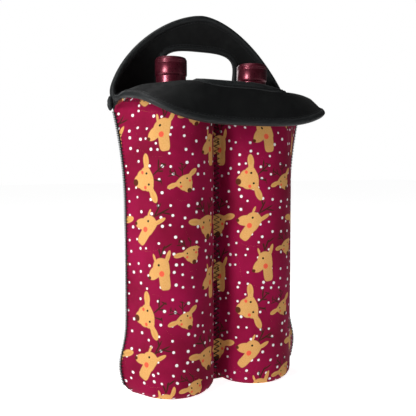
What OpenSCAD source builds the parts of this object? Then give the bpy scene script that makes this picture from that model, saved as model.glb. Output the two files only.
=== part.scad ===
// Gift bag for two wine bottles: a printed neoprene body with two pockets, black neoprene
// handle panels with rolled bindings, and the pair of bottles that fills the pockets.
// +X runs along the pair of pockets, -Y is the front and +Z is up. The origin is the middle
// of the base. The rear handle stands up, and the front handle is folded forward as a brim.

/* [Bottles] */
// Height of a bottle with its capsule
bottle_h = 314; // [308:1:320]
// Radius of a bottle's body
bottle_r = 37; // [36.5:0.5:37.5]
// Radius of the neck under the capsule
neck_r = 14.2; // [13.8:0.1:14.4]
// Thickness of the glass
glass_t = 2.7; // [2:0.1:3]
// Length of the cork
cork_h = 45; // [38:1:54]

/* [Bag] */
// Thickness of the neoprene
neoprene = 3; // [2.5:0.5:3.5]
// Gap between a bottle and its pocket
pocket_gap = 0.8; // [0.7:0.1:1.2]
// Distance of each pocket's axis from the middle of the bag
pocket_x = 44; // [43.5:0.5:46]
// Height of the seam that joins the printed body to the handle panels
collar_z = 268; // [264:1:272]
// Width across the mouth, from side seam to side seam
mouth_w = 206; // [202:1:208]
// Width across the middle of the bag
waist_w = 179; // [177:1:182]
// Radius of the rounding round the base
heel_r = 9; // [8:1:10]

/* [Handles] */
// Height of a handle panel above the collar seam
handle_h = 104; // [100:1:108]
// Width of a hand hole
hole_w = 82; // [78:1:84]
// Height of the top of the rear hand hole above the collar seam
hole_top = 65; // [62:1:68]
// Distance of the front panel's fold in front of the middle
crest_y = 58; // [56:1:60]
// Length of front panel that hangs down past its fold
brim = 41; // [38:1:44]
// Diameter of the rolled bindings
binding_d = 5.4; // [4.6:0.2:5.6]

/* [Hidden] */

pocket_out = bottle_r + pocket_gap + neoprene; // outside radius of a pocket
pocket_in = bottle_r + pocket_gap;
seam_gap = 0.05;        // half the gap between the front and rear sheets where they are sewn
arc_steps = 15;         // steps round one pocket's arc
heel_in = heel_r - neoprene;
foot_bulge = 6.5;       // how far the side seam stands out where the base pushes it
foot_z = 28;
foot_tuck = 7;          // how far the side seam tucks in at the very bottom
flare_z = 175;          // the side seams start to flare towards the mouth here
groove_h = 1.4;         // depth of the shallow groove that holds the base seam
base_shares = [0, 0.06, 0.1, 0.55]; // rows of the flat base, from its seam to its rim
heel_angles = [0, 30, 60, 90];
wall_levels = [22, 45, 95, 150, 190, 222, 245, collar_z];

arch_w = mouth_w / 2 + 1;     // half width of a handle panel's arch
arch_bend = 1.75;             // 2 is an ellipse, less is more pointed
binding_r = binding_d / 2;
fold_z = 289;                 // fold line of the rear handle, and top of the front crest
joint_gap = 0.4;              // gap between a collar and its grip
rear_y = 40.5;                // inside of the rear handle panel, behind the middle
rear_pivot_y = 42;
lean_in = 20;                 // how far the rear handle leans in over the bottles
strip_h = 12;                 // height of the strip below a hand hole
strip_lean = 0.25;            // how far that strip leans out
shelf = 8;                    // flat part of the brim behind its crest
shelf_rise = 20;              // slope of that flat part, in degrees
crest_drop = 6;               // how much lower the crest is near the side seams
roll = 12;                    // length over which the brim rolls over its crest
hang = 78;                    // steepness of the hanging brim in the middle, in degrees
hang_fade = 43;               // how much flatter it is near the side seams
brim_spread = 0.05;           // how much wider the brim's edge is than its crest
grip_x = 88;                  // half width of the front grip
lobe_x = 93;                  // half width of the rear grip
collar_x = 100.5;             // half width of the collars
tab_h = 8;                    // height of a corner tab between its round ends

thread_r = 0.45;
stitch_w = 3;                 // half width of the zigzag seams
stitch_pitch = 8;
stand_off = 0.7;              // from a face to the middle of a thread on it

base_z = neoprene + 0.2;      // the bottles stand here
shoulder_r = 28;              // radius of the rounded shoulder
shoulder_z = bottle_h - 124;
throat_r = 2 * (bottle_r - shoulder_r / 2 - neck_r); // radius of the hollow above the shoulder
throat_z = shoulder_z + (shoulder_r + throat_r) * sin(60);
lip_h = 16.5;                 // height of the lip at the top of the neck
cork_r = 9.4;                 // radius of the bore that holds the cork
fit = 0.05;                   // gap round the cork and the wine
mouth_drop = 0.7;             // the glass ends this far below the top of the capsule
capsule_h = 64;
fill_z = bottle_h - 64;       // level of the wine
label_low = 70;
label_high = 160;

panel_cols = [0, 6.5, 8, 10, 13, 17, 22, 28, 34, 38, 42, 46, 53, 60, 68, 76, 84, 90, 95, 98,
    collar_x];
front_cols = [0, 10, 20, 29, 35, 38, 40, 42, 44, 50, 58, 66, 74, 81, grip_x];
rear_cols = [0, 10, 20, 28, 34, 38, 40, hole_w / 2, 46, 54, 62, 70, 78, 86, lobe_x];

print_red = "#8c1240";
neoprene_black = "#1d1f20";
binding_black = "#0c0c0d";
foil_red = "#5a1424";
bottle_green = "#1c3020";

// Helpers

function clamp01(t) = min(1, max(0, t));
function ease(t) = let (u = clamp01(t)) u * u * (3 - 2 * u);
function mix(a, b, t) = a + (b - a) * t;
function unit(v) = v / norm(v);
function both(xs) = concat([for (i = [len(xs) - 1:-1:1]) -xs[i]], xs);
function within(xs, limit) = [for (x = xs) if (abs(x) <= limit) x];
function bell(x, width, p) = sqrt(1 - pow(abs(x) / width, p)); // 1 in the middle, 0 at the ends
function quad(a, b, c, d) = [[a, b, c], [a, c, d]];

// A closed sheet between two grids of points. Rows go up and columns go right, seen from
// outside, and the first grid is the outside face.
module sheet(outside, inside) {
    w = len(outside[0]);
    rows = len(outside) - 1;
    n = w * (rows + 1);
    polyhedron(
        [for (grid = [outside, inside], line = grid, p = line) p],
        concat(
            [for (i = [0:rows - 1], j = [0:w - 2]) let (a = i * w + j)
                each quad(a, a + w, a + w + 1, a + 1)],
            [for (i = [0:rows - 1], j = [0:w - 2]) let (a = n + i * w + j)
                each quad(a, a + 1, a + w + 1, a + w)],
            [for (i = [0:rows - 1]) let (a = i * w) each quad(a + w, a, n + a, n + a + w)],
            [for (i = [0:rows - 1]) let (a = i * w + w - 1) each quad(a, a + w, n + a + w, n + a)],
            [for (j = [0:w - 2]) each quad(j, j + 1, n + j + 1, n + j)],
            [for (j = [0:w - 2]) let (a = rows * w + j) each quad(a + 1, a, n + a, n + a + 1)]
        )
    );
}

// A cord of a given radius along an open path; side is a direction that the path never takes
module cord(path, radius, sides, side) {
    last = len(path) - 1;
    rings = [for (i = [0:last]) let (
        t = unit(path[min(i + 1, last)] - path[max(i - 1, 0)]),
        u = unit(cross(t, side)),
        v = cross(u, t)
    ) [for (k = [0:sides - 1]) let (a = 360 * k / sides)
        path[i] + radius * (cos(a) * u + sin(a) * v)]];
    polyhedron(
        [for (ring = rings, p = ring) p],
        concat(
            [for (i = [0:last - 1], k = [0:sides - 1])
                let (a = i * sides + k, b = i * sides + (k + 1) % sides)
                each quad(a, b, b + sides, a + sides)],
            [[for (k = [sides - 1:-1:0]) k]],
            [[for (k = [0:sides - 1]) last * sides + k]]
        )
    );
}

// Body: outlines of the two pockets and the side seams

function seam_x(z) = waist_w / 2
    + foot_bulge * exp(-pow((z - foot_z) / 22, 2))
    - foot_tuck * pow(clamp01(1 - z / 12), 2)
    + (mouth_w - waist_w) / 2 * pow(clamp01((z - flare_z) / (collar_z - flare_z)), 2);

// Half of an outline, from the centre seam round a pocket to the side seam
function half_outline(r, tip, web) = let (
    start = 180 - asin(web / r),
    end = acos(r / (tip - pocket_x))
) concat(
    [[0, web]],
    [for (i = [0:arc_steps]) let (a = mix(start, end, i / arc_steps))
        [pocket_x + r * cos(a), r * sin(a)]],
    [[tip, seam_gap]]
);

// The same outline as a depth at any x, for the mouth
function outline_y(x, r, tip, web) = let (
    d = abs(x) - pocket_x,
    cos_end = r / (tip - pocket_x),
    end_x = pocket_x + r * cos_end,
    end_y = r * sqrt(1 - cos_end * cos_end)
) d < -sqrt(r * r - web * web) ? web
    : abs(x) < end_x ? sqrt(r * r - d * d)
    : max(seam_gap, seam_gap + (tip - abs(x)) * end_y / (tip - end_x));

function inner_tip(tip) = pocket_x + (tip - pocket_x) * pocket_in / pocket_out;
function mouth_out(x) = outline_y(x, pocket_out, mouth_w / 2, neoprene + seam_gap);
function mouth_in(x) = outline_y(x, pocket_in, inner_tip(mouth_w / 2), seam_gap);

function level(r, tip, web, z, share, lift) = let (
    h = half_outline(r, tip, web),
    line = concat([for (i = [len(h) - 1:-1:1]) [-h[i][0], h[i][1]]], h)
) [for (p = line) [p[0], -mix(seam_gap, p[1], share), z + (abs(p[0]) > 8 ? lift : 0)]];

function outside_rows() = concat(
    [for (s = base_shares) level(pocket_out - heel_r, seam_x(0), neoprene + seam_gap, 0, s,
        s < 0.1 ? groove_h : 0)],
    [for (a = heel_angles) let (z = heel_r * (1 - cos(a)))
        level(pocket_out - heel_r * (1 - sin(a)), seam_x(z), neoprene + seam_gap, z, 1, 0)],
    [for (z = wall_levels) level(pocket_out, seam_x(z), neoprene + seam_gap, z, 1, 0)]
);

function inside_rows() = concat(
    [for (s = base_shares) level(pocket_in - heel_in, inner_tip(seam_x(0)), seam_gap,
        neoprene, s, 0)],
    [for (a = heel_angles) let (z = neoprene + heel_in * (1 - cos(a)))
        level(pocket_in - heel_in * (1 - sin(a)), inner_tip(seam_x(z)), seam_gap, z, 1, 0)],
    [for (z = wall_levels) level(pocket_in, inner_tip(seam_x(z)), seam_gap, z, 1, 0)]
);

module front_panel() {
    color(print_red) sheet(outside_rows(), inside_rows());
}

module rear_panel() {
    color(print_red) mirror([0, 1, 0]) sheet(outside_rows(), inside_rows());
}

// Handles: the flat arch, the standing rear one and the folded front one

function arch(x) = (handle_h - binding_r)
    * pow(1 - pow(abs(x) / (arch_w - binding_r), arch_bend), 1 / arch_bend);
function hole_share(x) = 1 - pow(clamp01(abs(x) / (hole_w / 2)), 6);
function past_hole(x) = ease((abs(x) - 30) / 14); // 0 below the hand hole, 1 beside it

function rear_depth(x) = bell(x, arch_w, 4);
function rear_low(x) = abs(x) < hole_w / 2
    ? mix(fold_z, collar_z + hole_top, pow(hole_share(x), 0.4))
    : fold_z + tan(lean_in) * (rear_pivot_y - rear_y * rear_depth(x));

// Rear collar: from the mouth up to the fold, lower and leaning out below the hole
function rear_collar_row(t, y_mouth, y_panel) = [for (x = both(panel_cols)) let (
    w = past_hole(x),
    top = min(mix(collar_z + strip_h, fold_z - joint_gap, w), collar_z + arch(x)),
    y = mix(y_mouth(x), y_panel * rear_depth(x), mix(strip_lean, 1, w) * ease(t))
) [x, -y, mix(collar_z + joint_gap, top, t)]];

module rear_collar() {
    steps = [0, 0.35, 0.7, 1];
    color(neoprene_black) mirror([0, 1, 0]) sheet(
        [for (t = steps) rear_collar_row(t, function(x) mouth_out(x), rear_y + neoprene)],
        [for (t = steps) rear_collar_row(t, function(x) mouth_in(x), rear_y)]
    );
}

module rear_grip() {
    xs = both(rear_cols);
    steps = [0, 0.35, 0.7, 1];
    color(neoprene_black) mirror([0, 1, 0]) sheet(
        [for (t = steps) [for (x = xs)
            [x, -(rear_y + neoprene) * rear_depth(x), mix(rear_low(x), collar_z + arch(x), t)]]],
        [for (t = steps) [for (x = xs)
            [x, -rear_y * rear_depth(x), mix(rear_low(x), collar_z + arch(x), t)]]]
    );
}

module rear_grip_binding() {
    color(binding_black) cord(
        [for (x = both(rear_cols))
            [x, (rear_y + neoprene / 2) * rear_depth(x), collar_z + arch(x)]],
        binding_r, 8, [0, 1, 0]
    );
}

module rear_hole_binding() {
    color(binding_black) cord(
        [for (x = within(both(rear_cols), hole_w / 2 - 1))
            [x, (rear_y + neoprene / 2) * rear_depth(x), rear_low(x)]],
        binding_r, 8, [0, 1, 0]
    );
}

// Front brim: a point at distance s past the crest, "deep" below its upper face
function brim_point(x, s, deep) = let (
    f = bell(x, arch_w, 3),
    steep = hang - hang_fade * pow(abs(x) / 92, 2.2),
    bend = roll / (shelf_rise + steep) * 180 / PI,
    turned = clamp01(s / roll),
    tilt = mix(shelf_rise, -steep, turned),
    straight = s < 0 ? s : max(0, s - roll),
    y = -crest_y * f + bend * (sin(tilt) - sin(shelf_rise)) - straight * cos(tilt),
    z = fold_z - crest_drop * pow(abs(x) / 95, 3)
        + bend * (cos(tilt) - cos(shelf_rise)) + straight * sin(tilt)
) [x * (1 + brim_spread * clamp01(s / brim)), y - deep * sin(tilt), z - deep * cos(tilt)];

function brim_start(x) = -shelf * bell(x, arch_w, 3) * ease((abs(x) - 38) / 5);
function brim_end(x) = (brim - binding_r) * pow(1 - pow(abs(x) / (arch_w - 3), 4), 0.6);

// Front collar: from the mouth up and out to the brim, lower below the hole
function front_collar_row(t, y_mouth, deep) = [for (x = both(panel_cols)) let (
    w = past_hole(x),
    end = brim_point(x, -shelf * bell(x, arch_w, 3) - joint_gap, deep),
    y = mix(y_mouth(x), -end[1], mix(strip_lean, 1, w) * ease(t)),
    top = mix(collar_z + strip_h - 1, end[2], w)
) [x, -y, mix(collar_z + joint_gap, top, t)]];

module front_collar() {
    steps = [0, 0.35, 0.7, 1];
    color(neoprene_black) sheet(
        [for (t = steps) front_collar_row(t, function(x) mouth_out(x), neoprene)],
        [for (t = steps) front_collar_row(t, function(x) mouth_in(x), 0)]
    );
}

module front_grip() {
    xs = both(front_cols);
    steps = [0, 0.14, 0.28, 0.42, 0.7, 1];
    color(neoprene_black) sheet(
        [for (t = steps) [for (x = xs) brim_point(x, mix(brim_start(x), brim_end(x), t), neoprene)]],
        [for (t = steps) [for (x = xs) brim_point(x, mix(brim_start(x), brim_end(x), t), 0)]]
    );
}

module front_grip_binding() {
    color(binding_black) cord(
        [for (x = both(front_cols)) brim_point(x, brim_end(x), neoprene / 2)],
        binding_r, 8, [0, 1, 0]
    );
}

module front_hole_binding() {
    color(binding_black) cord(
        [for (x = within(both(front_cols), 38)) brim_point(x, brim_start(x), neoprene / 2)],
        binding_r, 8, [0, 0, 1]
    );
}

// Hems on the strips below the hand holes
function strip_edge(row_out, row_in) = [for (i = [0:len(row_out) - 1])
    if (abs(row_out[i][0]) <= 34) (row_out[i] + row_in[i]) / 2];

module front_hole_hem() {
    color(binding_black) cord(
        strip_edge(front_collar_row(1, function(x) mouth_out(x), neoprene),
            front_collar_row(1, function(x) mouth_in(x), 0)),
        binding_r, 8, [0, 0, 1]
    );
}

module rear_hole_hem() {
    color(binding_black) mirror([0, 1, 0]) cord(
        strip_edge(rear_collar_row(1, function(x) mouth_out(x), rear_y + neoprene),
            rear_collar_row(1, function(x) mouth_in(x), rear_y)),
        binding_r, 8, [0, 0, 1]
    );
}

// Bound corners where the two handle panels and the side seams meet
module corner_tab(side) {
    color(binding_black) translate([side * (mouth_w / 2 + binding_r + 0.1), 0, collar_z])
        rotate_extrude($fn = 32) polygon(concat(
            arc(0, 0, binding_r, -90, 0, 5), arc(0, tab_h, binding_r, 0, 90, 5)
        ));
}

module left_corner_tab() {
    corner_tab(-1);
}

module right_corner_tab() {
    corner_tab(1);
}

// Seams

module centre_seam() {
    y = neoprene + seam_gap + stand_off;
    levels = [for (z = [heel_r + 2:stitch_pitch:collar_z - 10]) z];
    color(binding_black) for (side = [-1, 1]) cord(
        [for (z = levels) each [
            [-stitch_w, side * y, z], [-stitch_w, side * y, z + 1],
            [stitch_w, side * y, z + stitch_pitch / 2],
            [stitch_w, side * y, z + stitch_pitch / 2 + 1]
        ]],
        thread_r, 3, [0, 1, 0]
    );
}

// A point of the edge seam: on a face, 5 mm in from the edge, or just past the edge
function edge_point(z, face) = let (
    tip = lookup(z, [for (l = concat([heel_r], wall_levels)) [l, seam_x(l)]]),
    cos_end = pocket_out / (tip - pocket_x),
    slope = cos_end / sqrt(1 - cos_end * cos_end),
    run = 1 / sqrt(1 + slope * slope)
) face == 0 ? [tip + 0.8, 0, z]
    : [tip - 5 * run, face * (seam_gap + 5 * run * slope + stand_off / run), z];

module side_seam() {
    levels = [for (z = [heel_r + 6:stitch_pitch:collar_z - 8]) z];
    color(binding_black) cord(
        [for (z = levels) each [
            edge_point(z, -1), edge_point(z + stitch_pitch / 4, 0),
            edge_point(z + stitch_pitch / 2, 1), edge_point(z + stitch_pitch * 3 / 4, 0)
        ]],
        thread_r, 3, [1, 0, 0]
    );
}

module left_side_seam() {
    mirror([1, 0, 0]) side_seam();
}

module right_side_seam() {
    side_seam();
}

module base_seam() {
    z = groove_h - 0.55;
    color(binding_black) for (side = [-1, 1]) cord(
        [for (x = [-24:stitch_pitch:20]) let (at = side * pocket_x + x) each [
            [at, -1, z], [at + 0.6, -1, z], [at + 4, 1, z], [at + 4.6, 1, z]
        ]],
        thread_r, 3, [0, 0, 1]
    );
}

module collar_seam(side) {
    color(binding_black) cord(
        [for (x = both(within(panel_cols, 95)))
            [x, side * (mouth_out(x) + stand_off * 2), collar_z - 3]],
        thread_r, 4, [0, 0, 1]
    );
}

module front_collar_seam() {
    collar_seam(-1);
}

module rear_collar_seam() {
    collar_seam(1);
}

// Bottles: profiles are [radius, height above the bottle's own base]

function arc(cx, cz, r, from, to, steps) = [for (i = [0:steps])
    let (a = mix(from, to, i / steps)) [cx + r * cos(a), cz + r * sin(a)]];

function glass_outside() = concat(
    [[0, 22], [10, 20], [20, 11], [25, 2], [27, 0]],
    arc(bottle_r - 6, 6, 6, -90, 0, 5),
    arc(bottle_r - shoulder_r, shoulder_z, shoulder_r, 0, 60, 8),
    arc(neck_r + throat_r, throat_z, throat_r, 240, 180, 8),
    [[neck_r - 0.5, bottle_h - lip_h - 0.9], [neck_r + 0.4, bottle_h - lip_h],
        [neck_r + 0.4, bottle_h - 3.2], [neck_r - 1, bottle_h - mouth_drop]]
);

function hollow(gap) = concat(
    [[0, 22 + glass_t + gap], [10, 20 + glass_t + gap], [21, 12 + glass_t + gap],
        [27, 4 + glass_t + gap]],
    arc(bottle_r - 6 - gap, 6 + gap, 6 - glass_t, -60, 0, 4),
    arc(bottle_r - shoulder_r, shoulder_z, shoulder_r - glass_t - gap, 0, 60, 8),
    arc(neck_r + throat_r, throat_z, throat_r + glass_t + gap, 240, 180, 8)
);

module glass(side) {
    inside = concat(hollow(0), [[cork_r, throat_z + 16], [cork_r, bottle_h - mouth_drop]]);
    color(bottle_green) translate([side * pocket_x, 0, base_z]) rotate_extrude($fn = 72)
        polygon(concat(glass_outside(), [for (i = [len(inside) - 1:-1:0]) inside[i]]));
}

module wine(side) {
    color("#2a0a12") translate([side * pocket_x, 0, base_z]) rotate_extrude($fn = 72)
        polygon(concat(hollow(fit), [[cork_r - fit, throat_z + 16], [cork_r - fit, fill_z], [0, fill_z]]));
}

module cork(side) {
    color("tan") translate([side * pocket_x, 0, base_z + bottle_h - mouth_drop - cork_h])
        cylinder(h = cork_h, r = cork_r - fit, $fn = 48);
}

module capsule(side) {
    r = neck_r + 0.4;
    lip_z = bottle_h - lip_h;
    outside = [
        [r + 0.2, bottle_h - capsule_h], [r - 0.25, lip_z - 2.2], [r - 0.25, lip_z - 1.3],
        [r + 0.4, lip_z - 0.3], [r + 0.6, lip_z + 0.5], [r + 0.6, bottle_h - 3.2],
        [r + 0.3, bottle_h - 2.4], [r - 0.4, bottle_h - 1.8], [r - 0.4, bottle_h - 1.2],
        [r - 0.6, bottle_h - 0.4], [r - 1.4, bottle_h], [0, bottle_h]
    ];
    inside = [
        [0, bottle_h - 0.5], [r - 1.1, bottle_h - 0.5], [r - 0.6, bottle_h - 1.6],
        [r + 0.1, bottle_h - 2.8], [r + 0.1, lip_z - 0.1], [neck_r - 0.3, lip_z - 1.1],
        [neck_r - 0.3, lip_z - 1.9],
        [neck_r + 0.1, bottle_h - capsule_h]
    ];
    color(foil_red) translate([side * pocket_x, 0, base_z]) rotate_extrude($fn = 72)
        polygon(concat(outside, inside));
}

module label(side) {
    color("ivory") translate([side * pocket_x, 0, base_z + label_low]) rotate([0, 0, -170])
        rotate_extrude(angle = 160, $fn = 72)
            translate([bottle_r + 0.02, 0]) square([0.12, label_high - label_low]);
}

module left_bottle() {
    glass(-1);
}

module left_wine() {
    wine(-1);
}

module left_cork() {
    cork(-1);
}

module left_capsule() {
    capsule(-1);
}

module left_label() {
    label(-1);
}

module right_bottle() {
    glass(1);
}

module right_wine() {
    wine(1);
}

module right_cork() {
    cork(1);
}

module right_capsule() {
    capsule(1);
}

module right_label() {
    label(1);
}

front_panel();
rear_panel();
front_collar();
rear_collar();
front_grip();
rear_grip();
front_grip_binding();
rear_grip_binding();
front_hole_binding();
rear_hole_binding();
front_hole_hem();
rear_hole_hem();
left_corner_tab();
right_corner_tab();
centre_seam();
left_side_seam();
right_side_seam();
base_seam();
front_collar_seam();
rear_collar_seam();
left_bottle();
left_wine();
left_cork();
left_capsule();
left_label();
right_bottle();
right_wine();
right_cork();
right_capsule();
right_label();
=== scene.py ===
import math
import bpy
import bmesh
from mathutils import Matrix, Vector, noise


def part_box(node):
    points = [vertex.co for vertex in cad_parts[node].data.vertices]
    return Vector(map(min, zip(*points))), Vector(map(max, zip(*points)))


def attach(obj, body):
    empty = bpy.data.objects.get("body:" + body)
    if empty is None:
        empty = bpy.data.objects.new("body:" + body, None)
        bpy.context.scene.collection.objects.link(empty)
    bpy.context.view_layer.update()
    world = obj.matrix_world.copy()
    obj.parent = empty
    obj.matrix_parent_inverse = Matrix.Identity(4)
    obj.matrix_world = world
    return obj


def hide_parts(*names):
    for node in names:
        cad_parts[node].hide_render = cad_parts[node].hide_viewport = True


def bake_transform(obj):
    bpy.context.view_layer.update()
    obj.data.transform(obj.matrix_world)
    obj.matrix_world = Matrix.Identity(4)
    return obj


# A neoprene gift bag with two bottles. Shapes are worked out in millimetres, and newPiece
# turns them into metres. +X runs along the pockets, -Y is the front and +Z is up.
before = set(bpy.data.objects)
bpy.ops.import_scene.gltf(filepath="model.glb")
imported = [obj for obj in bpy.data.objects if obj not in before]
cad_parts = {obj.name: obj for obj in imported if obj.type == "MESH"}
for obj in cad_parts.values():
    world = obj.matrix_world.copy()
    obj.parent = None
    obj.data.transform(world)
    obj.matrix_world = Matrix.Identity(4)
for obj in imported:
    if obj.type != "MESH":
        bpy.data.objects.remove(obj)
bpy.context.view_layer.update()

bag = {
    "neoprene": 3.0,          # thickness of the cloth
    "pocketRadius": 40.8,     # outside of a pocket
    "pocketAxis": 44.0,       # distance of a pocket's axis from the middle
    "collarLevel": 268.0,     # seam between the print and the handle panels
    "mouthTip": 100.6,        # half width across the mouth
    "waistTip": 89.5,         # half width across the middle
    "heel": 9.0,              # rounding round the base
    "seamGap": 0.05,          # between a seam's plane and each of its two cloths
}


def clamp(t):
    return min(1.0, max(0.0, t))


def ease(t):
    return clamp(t) ** 2 * (3 - 2 * clamp(t))


def mix(a, b, t):
    return a + (b - a) * t


def bell(x, width, power):
    return math.sqrt(max(0.0, 1 - (abs(x) / width) ** power))


# Making pieces

def newPiece(name, mesh, materials, body=None, wall=0.0, rim=0):
    bmesh.ops.scale(mesh, vec=(0.001, 0.001, 0.001), verts=mesh.verts)
    data = bpy.data.meshes.new(name)
    mesh.to_mesh(data)
    mesh.free()
    for material in materials:
        data.materials.append(material)
    data.polygons.foreach_set("use_smooth", [True] * len(data.polygons))
    piece = bpy.data.objects.new(name, data)
    bpy.context.scene.collection.objects.link(piece)
    if wall:
        solid = piece.modifiers.new("Thickness", "SOLIDIFY")
        solid.thickness = wall * 0.001
        solid.offset = -1
        solid.material_offset = len(materials) - 1
        solid.material_offset_rim = rim
    if body:
        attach(piece, body)
    return piece


# A grid of points bent into a surface. place takes s and t from 0 to 1
def bentGrid(columns, rows, place, printAt=None, loopAcross=False, loopUp=False):
    mesh = bmesh.new()
    bmesh.ops.create_grid(mesh, x_segments=columns, y_segments=rows, size=1)
    share = {v: ((v.co.x + 1) / 2, (v.co.y + 1) / 2) for v in mesh.verts}
    if printAt:
        layer = mesh.loops.layers.uv.new("print")
        for face in mesh.faces:
            for loop in face.loops:
                loop[layer].uv = printAt(*share[loop.vert])
    for v, (s, t) in share.items():
        v.co = place(s, t)
    if loopAcross or loopUp:
        bmesh.ops.remove_doubles(mesh, verts=mesh.verts, dist=0.004)
    return mesh


def outward(mesh, reference=None):
    bmesh.ops.recalc_face_normals(mesh, faces=mesh.faces)
    if reference:
        face = min(mesh.faces, key=lambda f: (f.calc_center_median() - reference[0]).length)
        if face.normal.dot(reference[1]) < 0:
            bmesh.ops.reverse_faces(mesh, faces=mesh.faces)
    return mesh


# A tube along frames of (centre, across, away); section gives (a, b) for an angle
def sweptTube(frames, section, sides, closed=False):
    count = len(frames)

    def place(s, t):
        centre, across, away = frames[round(s * count) % count if closed
                                      else round(s * (count - 1))]
        a, b = section(2 * math.pi * t)
        return centre + across * a + away * b

    mesh = bentGrid(count if closed else count - 1, sides, place,
                    loopAcross=closed, loopUp=True)
    if not closed:
        ends = [edge for edge in mesh.edges if edge.is_boundary]
        bmesh.ops.holes_fill(mesh, edges=ends, sides=0)
    return outward(mesh)


# A thread through a list of points, with a side that it never runs along
def threadFrames(points, side):
    frames = []
    for i, point in enumerate(points):
        run = (points[min(i + 1, len(points) - 1)] - points[max(i - 1, 0)]).normalized()
        across = run.cross(side[i] if isinstance(side, list) else side).normalized()
        frames.append((point, across, across.cross(run)))
    return frames


def thread(points, side, radius, sides=5):
    return sweptTube(threadFrames(points, side),
                     lambda angle: (radius * math.cos(angle), radius * math.sin(angle)), sides)


def joined(meshes):
    whole = bmesh.new()
    for part in meshes:
        data = bpy.data.meshes.new("part")
        part.to_mesh(data)
        part.free()
        whole.from_mesh(data)
        bpy.data.meshes.remove(data)
    return whole


# Node trees

class Tree:
    def __init__(self, tree):
        self.tree = tree

    def add(self, kind, inputs=(), **settings):
        node = self.tree.nodes.new(kind)
        for key, value in settings.items():
            setattr(node, key, value)
        for key, value in dict(inputs).items():
            if isinstance(value, bpy.types.NodeSocket):
                self.tree.links.new(value, node.inputs[key])
            elif value is not None:
                node.inputs[key].default_value = value
        return node

    def maths(self, operation, a, b=None):
        return self.add("ShaderNodeMath", {0: a, 1: b}, operation=operation).outputs[0]

    def vector(self, operation, a, b=None):
        return self.add("ShaderNodeVectorMath", {0: a, 1: b}, operation=operation).outputs[0]

    def ramp(self, value, low, high, start=0.0, end=1.0):
        return self.add("ShaderNodeMapRange", {0: value, 1: low, 2: high, 3: start, 4: end},
                        interpolation_type="SMOOTHSTEP").outputs[0]

    def blendColour(self, share, a, b):
        return self.add("ShaderNodeMix", {0: share, 6: a, 7: b}, data_type="RGBA").outputs[2]

    def noise(self, at, scale, detail=2.0, roughness=0.5):
        return self.add("ShaderNodeTexNoise", {"Vector": at, "Scale": scale,
                        "Detail": detail, "Roughness": roughness}).outputs[0]

    def bump(self, height, strength, distance, after=None):
        return self.add("ShaderNodeBump", {"Height": height, "Strength": strength,
                        "Distance": distance, "Normal": after}).outputs[0]

    # at, as seen from a centre that is turned by degrees, in units of its radii
    def around(self, at, centre, radii, turn):
        return self.add("ShaderNodeMapping", {
            "Vector": at, "Location": (*centre, 0), "Rotation": (0, 0, math.radians(turn)),
            "Scale": (*radii, 1)}, vector_type="TEXTURE").outputs[0]

    # A piece's own coordinates in millimetres
    def inMillimetres(self):
        at = self.add("ShaderNodeTexCoord").outputs["Object"]
        return self.vector("MULTIPLY", at, (1000, 1000, 1000))


def newMaterial(name, fixed):
    material = bpy.data.materials.new(name)
    material.use_nodes = True
    tree = Tree(material.node_tree)
    shader = next(n for n in tree.tree.nodes if n.type == "BSDF_PRINCIPLED")
    for key, value in fixed.items():
        shader.inputs[key].default_value = value
    return material, tree, shader


def finishMaterial(tree, shader, **links):
    names = {"colour": "Base Color", "rough": "Roughness", "normal": "Normal"}
    for key, socket in links.items():
        tree.tree.links.new(socket, shader.inputs[names[key]])


def linear(red, green, blue):
    return tuple((c / 255 / 12.92 if c < 11 else ((c / 255 + 0.055) / 1.055) ** 2.4)
                 for c in (red, green, blue)) + (1.0,)


printLook = {
    "ground": linear(150, 10, 64),
    # shade is painted shade: a darker, shaded copy of the ground colour
    "shade": linear(122, 4, 44),
    "snow": linear(246, 244, 246),
    "tan": linear(226, 172, 106),
    "tanDark": linear(214, 158, 86),
    "cheek": linear(238, 96, 70),
    "nose": linear(92, 40, 26),
    "eye": linear(26, 30, 18),
    "antler": linear(44, 34, 14),
    "across": 138.0,          # repeat of the print, in mm
    "up": 125.0,
    "snowPitch": 11.2,
    "snowSize": (0.094, 0.13),  # smallest and largest radius, as shares of the pitch
    "headMiddle": 6.0,        # above a head's own zero
    "headReach": 27.0,        # radius that holds a head and its antlers
}


# A soft-edged ellipse in a flat pattern: centre, radii and turn in degrees
def spot(tree, at, centre, radii, turn=0.0, soft=0.1):
    moved = tree.around(at, centre, radii, turn)
    away = tree.add("ShaderNodeVectorMath", {0: moved}, operation="LENGTH").outputs["Value"]
    return tree.ramp(away, 1 + soft, 1 - soft)


# A soft-edged block with rounded corners, given as a spot is
def block(tree, at, centre, radii, turn=0.0, soft=0.1):
    moved = tree.around(at, centre, radii, turn)
    squared = tree.vector("MULTIPLY", moved, moved)
    away = tree.add("ShaderNodeVectorMath", {0: tree.vector("MULTIPLY", squared, squared),
                    1: (1, 1, 0)}, operation="DOT_PRODUCT").outputs["Value"]
    return tree.ramp(away, 1 + 4 * soft, 1 - 4 * soft)


def anyOf(tree, shares):
    whole = shares[0]
    for share in shares[1:]:
        whole = tree.maths("MAXIMUM", whole, share)
    return whole


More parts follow.
